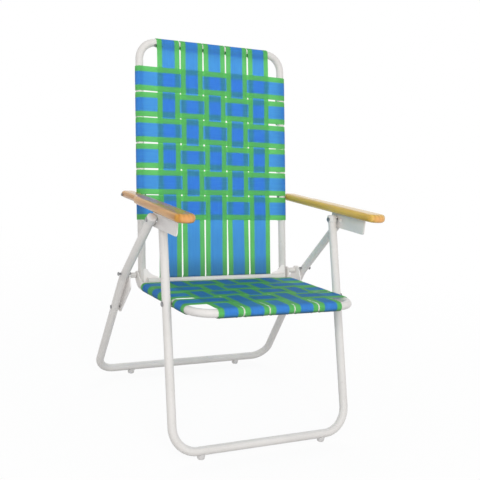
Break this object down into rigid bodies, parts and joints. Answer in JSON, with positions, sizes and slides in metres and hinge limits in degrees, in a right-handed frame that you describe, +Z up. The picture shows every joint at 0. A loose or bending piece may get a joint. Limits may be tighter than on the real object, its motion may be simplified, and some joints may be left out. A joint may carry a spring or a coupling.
{
  "type": "folding webbed lawn chair",
  "caption": "Folding lawn chair: white steel tube legs crossing under wooden arms, woven two-colour webbing on a tall leaning back and a seat that fold flat together.",
  "frame": {"origin": "on the floor, under the middle of the bounding box", "axes": "+X to the right seen from the front of the chair, +Y from front to rear, +Z up; the seat faces -Y"},
  "size_m": [0.517, 0.4989, 0.8367],
  "materials": {
    "white_paint": "white gloss paint on steel tube and sheet",
    "webbing": "woven polypropylene webbing, blue with green edges",
    "varnished_wood": "clear varnish on pale wood",
    "white_plastic": "moulded white plastic",
    "fastener_steel": "plain steel bolts and rivets"
  },
  "bodies": {
    "front_frame": {"front_leg_frame": "white_paint", "front_leg_cap_left": "white_plastic", "front_glide_left": "white_plastic", "apex_bolt_left": "fastener_steel", "seat_pivot_bolt_left": "fastener_steel", "front_leg_cap_right": "white_plastic", "front_glide_right": "white_plastic", "apex_bolt_right": "fastener_steel", "seat_pivot_bolt_right": "fastener_steel"},
    "rear_frame": {"rear_leg_frame": "white_paint", "rear_leg_cap_left": "white_plastic", "rear_glide_left": "white_plastic", "link_pivot_rivet_left": "fastener_steel", "link_stop_bolt_left": "fastener_steel", "rear_leg_cap_right": "white_plastic", "rear_glide_right": "white_plastic", "link_pivot_rivet_right": "fastener_steel", "link_stop_bolt_right": "fastener_steel"},
    "seat": {"seat_frame": "white_paint", "seat_rear_bar": "white_paint", "back_hinge_bolt_left": "fastener_steel", "back_hinge_spacer_left": "white_paint", "back_hinge_bolt_right": "fastener_steel", "back_hinge_spacer_right": "white_paint", "seat_cross_strap_1": "webbing", "seat_cross_strap_2": "webbing", "seat_cross_strap_3": "webbing", "seat_cross_strap_4": "webbing", "seat_long_strap_1": "webbing", "seat_long_strap_2": "webbing", "seat_long_strap_3": "webbing", "seat_long_strap_4": "webbing", "seat_long_strap_5": "webbing"},
    "back": {"back_frame": "white_paint", "back_lower_bar": "white_paint", "back_gusset_left": "white_paint", "arm_pivot_bolt_left": "fastener_steel", "back_gusset_right": "white_paint", "arm_pivot_bolt_right": "fastener_steel", "back_cross_strap_1": "webbing", "back_cross_strap_2": "webbing", "back_cross_strap_3": "webbing", "back_cross_strap_4": "webbing", "back_cross_strap_5": "webbing", "back_cross_strap_6": "webbing", "back_long_strap_1": "webbing", "back_long_strap_2": "webbing", "back_long_strap_3": "webbing", "back_long_strap_4": "webbing", "back_long_strap_5": "webbing"},
    "link_left": {"link_plate_left": "white_paint", "link_top_rivet_left": "fastener_steel"},
    "arm_left": {"arm_left": "varnished_wood", "arm_bracket_left": "white_paint"},
    "link_right": {"link_plate_right": "white_paint", "link_top_rivet_right": "fastener_steel"},
    "arm_right": {"arm_right": "varnished_wood", "arm_bracket_right": "white_paint"}
  },
  "joints": [
    {"name": "fold", "type": "hinge", "parent": "front_frame", "child": "rear_frame", "pos_m": [0, -0.06408, 0.47484], "axis": [-1, 0, 0], "range_deg": [0, 54]},
    {"name": "seat_pivot", "type": "hinge", "parent": "front_frame", "child": "seat", "pos_m": [0, -0.12859, 0.30851], "axis": [-1, 0, 0], "range_deg": [0, 94.5]},
    {"name": "back_hinge", "type": "hinge", "parent": "seat", "child": "back", "pos_m": [0, 0.08446, 0.30217], "axis": [-1, 0, 0], "range_deg": [-90.5, 0]},
    {"name": "link_pivot_left", "type": "hinge", "parent": "rear_frame", "child": "link_left", "pos_m": [0, 0.10934, 0.21707], "axis": [-1, 0, 0], "range_deg": [0, 129.7]},
    {"name": "arm_pivot_left", "type": "hinge", "parent": "back", "child": "arm_left", "pos_m": [0, 0.13687, 0.48141], "axis": [-1, 0, 0], "range_deg": [0, 94.2]},
    {"name": "link_pivot_right", "type": "hinge", "parent": "rear_frame", "child": "link_right", "pos_m": [0, 0.10934, 0.21707], "axis": [-1, 0, 0], "range_deg": [0, 129.7]},
    {"name": "arm_pivot_right", "type": "hinge", "parent": "back", "child": "arm_right", "pos_m": [0, 0.13687, 0.48141], "axis": [-1, 0, 0], "range_deg": [0, 94.2]}
  ],
  "couplings": [
    {"joint": "seat_pivot", "follows": "fold", "ratio": 1.7474},
    {"joint": "back_hinge", "follows": "fold", "ratio": -1.6734},
    {"joint": "link_pivot_left", "follows": "fold", "ratio": 2.3991},
    {"joint": "arm_pivot_left", "follows": "fold", "ratio": 1.743},
    {"joint": "link_pivot_right", "follows": "fold", "ratio": 2.3991},
    {"joint": "arm_pivot_right", "follows": "fold", "ratio": 1.743}
  ]
}
